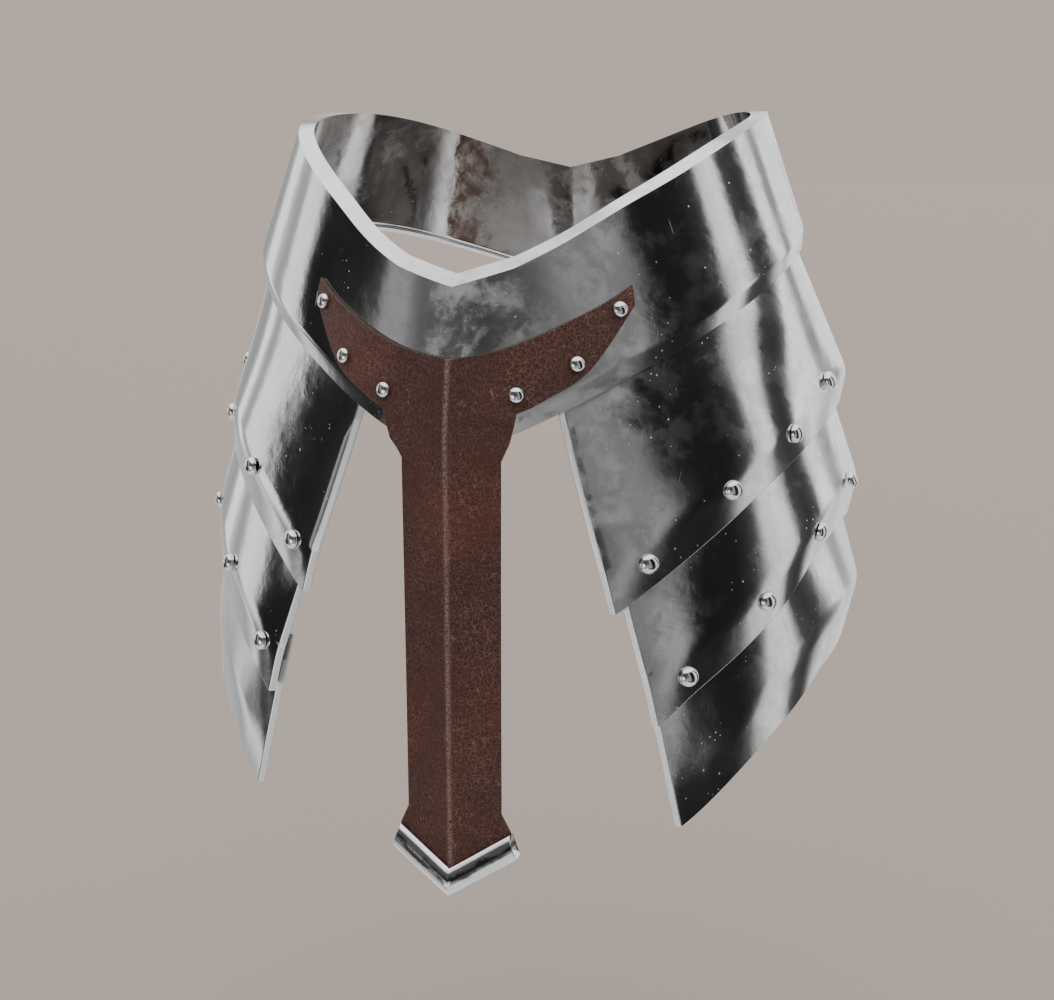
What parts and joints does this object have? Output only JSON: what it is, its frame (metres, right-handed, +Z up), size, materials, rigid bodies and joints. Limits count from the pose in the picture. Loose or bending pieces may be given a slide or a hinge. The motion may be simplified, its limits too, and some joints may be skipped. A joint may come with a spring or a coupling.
{
  "type": "waist armour",
  "caption": "Waist armour: a flared steel band with notched rims, overlapping riveted hip plates at each side, and a leather strap with a pointed steel end hanging in front",
  "frame": {"origin": "on the vertical axis of the waist, midway between the band's front and back, level with the lowest point of the upper rim's outer edge, which is the tip of the front notch", "axes": "+Z up, -Y the wearer's front where the strap hangs, +X the wearer's left"},
  "size_m": [0.5182, 0.3738, 0.5489],
  "materials": {
    "steel": "polished plate, smudged and finely scratched",
    "leather": "dark red-brown, finely creased, matt"
  },
  "bodies": {
    "root": {"waist_band": "steel", "leather_tab": "leather", "chape": "steel", "tasset_upper_l": "steel", "tasset_middle_l": "steel", "tasset_lower_l": "steel", "tasset_upper_r": "steel", "tasset_middle_r": "steel", "tasset_lower_r": "steel", "yoke_rivet_l1": "steel", "yoke_rivet_l2": "steel", "yoke_rivet_l3": "steel", "upper_rivet_l1": "steel", "upper_rivet_l2": "steel", "upper_rivet_l3": "steel", "upper_rivet_l4": "steel", "middle_rivet_l1": "steel", "middle_rivet_l2": "steel", "middle_rivet_l3": "steel", "middle_rivet_l4": "steel", "yoke_rivet_r1": "steel", "yoke_rivet_r2": "steel", "yoke_rivet_r3": "steel", "upper_rivet_r1": "steel", "upper_rivet_r2": "steel", "upper_rivet_r3": "steel", "upper_rivet_r4": "steel", "middle_rivet_r1": "steel", "middle_rivet_r2": "steel", "middle_rivet_r3": "steel", "middle_rivet_r4": "steel"}
  },
  "joints": []
}
